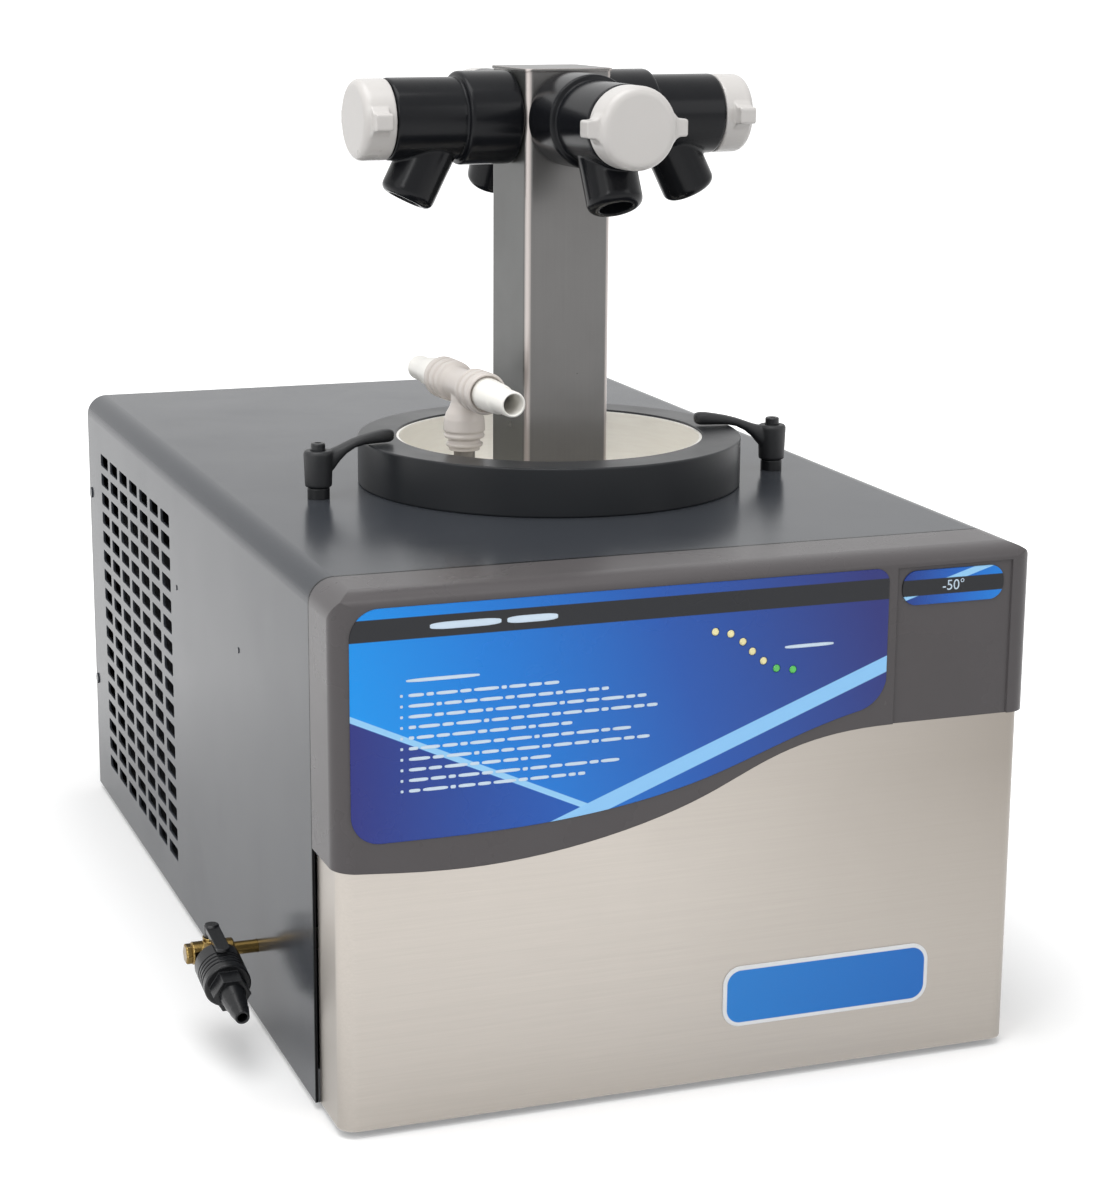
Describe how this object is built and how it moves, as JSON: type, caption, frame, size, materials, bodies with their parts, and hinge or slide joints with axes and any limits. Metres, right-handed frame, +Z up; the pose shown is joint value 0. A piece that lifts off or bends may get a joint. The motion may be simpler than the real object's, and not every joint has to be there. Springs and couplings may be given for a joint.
{
  "type": "bench-top freeze dryer",
  "caption": "Bench-top freeze dryer: refrigerated cold trap in a sheet-metal cabinet under a lid with a square column, side valves with flask ports, a vacuum tee and two clamps.",
  "frame": {"origin": "centre of the base pan's underside; the rubber feet reach 4 mm below it", "axes": "+X to the right seen from the front, +Y to the back, +Z up; the control panel faces -Y"},
  "size_m": [0.4167, 0.6221, 0.5099],
  "materials": {
    "cover_paint": "semi-gloss grey",
    "pan_paint": "matte grey",
    "foot_rubber": "matte",
    "bezel_plastic": "fine texture, warm dark grey",
    "front_steel": "horizontal brush",
    "label_print": "printed film in blues with a black band",
    "badge_print": "printed film with a temperature in numbers",
    "badge_blank": "plain domed film with a pale rim",
    "lamp_amber": "diffusing lens",
    "lamp_green": "diffusing lens",
    "board_green": "circuit board",
    "trap_steel": "brushed",
    "column_steel": "vertical brush",
    "copper": "drawn copper",
    "foam": "foamed in place",
    "ring_black": "satin black",
    "seal_rubber": "matte",
    "valve_rubber": "glossy moulded rubber",
    "knob_white": "white moulding",
    "tee_white": "warm white moulding",
    "barb_white": "white moulding",
    "black_steel": "satin black",
    "handle_black": "satin black powder coat",
    "screw_steel": "bright zinc",
    "hose_clear": "pale tubing",
    "brass": "polished brass",
    "drain_black": "black moulding",
    "compressor_black": "gloss black",
    "fin_aluminium": "bare",
    "shroud_steel": "galvanised",
    "motor_steel": "matte black",
    "fan_plastic": "black moulding",
    "inlet_black": "black moulding",
    "control_plastic": "grey moulding"
  },
  "bodies": {
    "cabinet": {"wrap_cover": "cover_paint", "rear_panel": "cover_paint", "base_pan": "pan_paint", "feet": "foot_rubber", "front_bezel": "bezel_plastic", "front_panel": "front_steel", "control_label": "label_print", "temperature_badge": "badge_print", "blank_badge": "badge_blank", "amber_lamps": "lamp_amber", "green_lamps": "lamp_green", "indicator_board": "board_green", "trap_chamber": "trap_steel", "evaporator_coil": "copper", "insulation_jacket": "foam", "lid_ring": "ring_black", "lid_gasket": "seal_rubber", "lid_dish": "trap_steel", "manifold_column": "column_steel", "column_nipples": "column_steel", "clamp_posts": "black_steel", "drain_hose": "hose_clear", "drain_pipe": "brass", "drain_valve_body": "brass", "drain_end_cap": "brass", "drain_barrel": "drain_black", "drain_barb": "drain_black", "compressor": "compressor_black", "compressor_mounts": "foot_rubber", "condenser_fins": "fin_aluminium", "condenser_tube": "copper", "fan_shroud": "shroud_steel", "fan_motor": "motor_steel", "filter_drier": "copper", "copper_lines": "copper", "power_inlet": "inlet_black", "control_box": "control_plastic", "cover_screws": "cover_paint", "valve_body_right": "valve_rubber", "valve_body_back": "valve_rubber", "valve_body_left": "valve_rubber", "valve_body_front": "valve_rubber"},
    "knob_right": {"valve_knob_right": "knob_white"},
    "knob_back": {"valve_knob_back": "knob_white"},
    "knob_left": {"valve_knob_left": "knob_white"},
    "knob_front": {"valve_knob_front": "knob_white"},
    "tee": {"tee_body": "tee_white", "tee_collets": "tee_white", "hose_barbs": "barb_white"},
    "clamp_turn_left": {"clamp_insert_left": "black_steel", "clamp_screw_left": "black_steel", "clamp_spring_left": "screw_steel"},
    "clamp_grip_left": {"clamp_handle_left": "handle_black"},
    "clamp_turn_right": {"clamp_insert_right": "black_steel", "clamp_screw_right": "black_steel", "clamp_spring_right": "screw_steel"},
    "clamp_grip_right": {"clamp_handle_right": "handle_black"},
    "drain_lever": {"drain_handle": "drain_black"},
    "rocker": {"power_rocker": "inlet_black"},
    "fan": {"fan_rotor": "fan_plastic"}
  },
  "joints": [
    {"name": "valve_right_turn", "type": "hinge", "parent": "cabinet", "child": "knob_right", "pos_m": [0.12531, -0.05976, 0.4788], "axis": [0.9983, 0.0576, 0], "continuous": true},
    {"name": "valve_back_turn", "type": "hinge", "parent": "cabinet", "child": "knob_back", "pos_m": [0.00177, 0.05031, 0.4788], "axis": [-0.0576, 0.9983, 0], "continuous": true},
    {"name": "valve_left_turn", "type": "hinge", "parent": "cabinet", "child": "knob_left", "pos_m": [-0.10831, -0.07323, 0.4788], "axis": [-0.9983, -0.0576, 0], "continuous": true},
    {"name": "valve_front_turn", "type": "hinge", "parent": "cabinet", "child": "knob_front", "pos_m": [0.01524, -0.18331, 0.4788], "axis": [0.0576, -0.9983, 0], "continuous": true},
    {"name": "tee_swivel", "type": "hinge", "parent": "cabinet", "child": "tee", "pos_m": [-0.05301, -0.09759, 0.3353], "axis": [0, 0, 1], "range_deg": [-20, 20]},
    {"name": "clamp_left_turn", "type": "hinge", "parent": "cabinet", "child": "clamp_turn_left", "pos_m": [-0.1313, -0.0777, 0.273], "axis": [0, 0, 1], "range_deg": [0, 150]},
    {"name": "clamp_left_lift", "type": "slide", "parent": "clamp_turn_left", "child": "clamp_grip_left", "axis": [0, 0, 1], "range_m": [0, 0.004], "stiffness_N_per_m": 400, "springref_m": -0.004, "deforming": ["clamp_spring_left"]},
    {"name": "clamp_right_turn", "type": "hinge", "parent": "cabinet", "child": "clamp_turn_right", "pos_m": [0.143, -0.07869, 0.273], "axis": [0, 0, 1], "range_deg": [0, 150]},
    {"name": "clamp_right_lift", "type": "slide", "parent": "clamp_turn_right", "child": "clamp_grip_right", "axis": [0, 0, 1], "range_m": [0, 0.004], "stiffness_N_per_m": 400, "springref_m": -0.004, "deforming": ["clamp_spring_right"]},
    {"name": "drain_turn", "type": "hinge", "parent": "cabinet", "child": "drain_lever", "pos_m": [-0.213, -0.1466, 0.042], "axis": [0, 0, -1], "range_deg": [0, 90]},
    {"name": "rocker_tilt", "type": "hinge", "parent": "cabinet", "child": "rocker", "pos_m": [0.082, 0.303, 0.062], "axis": [-1, 0, 0], "range_deg": [0, 18]},
    {"name": "fan_spin", "type": "hinge", "parent": "cabinet", "child": "fan", "pos_m": [-0.141, 0.1585, 0.117], "axis": [1, 0, 0], "continuous": true}
  ]
}
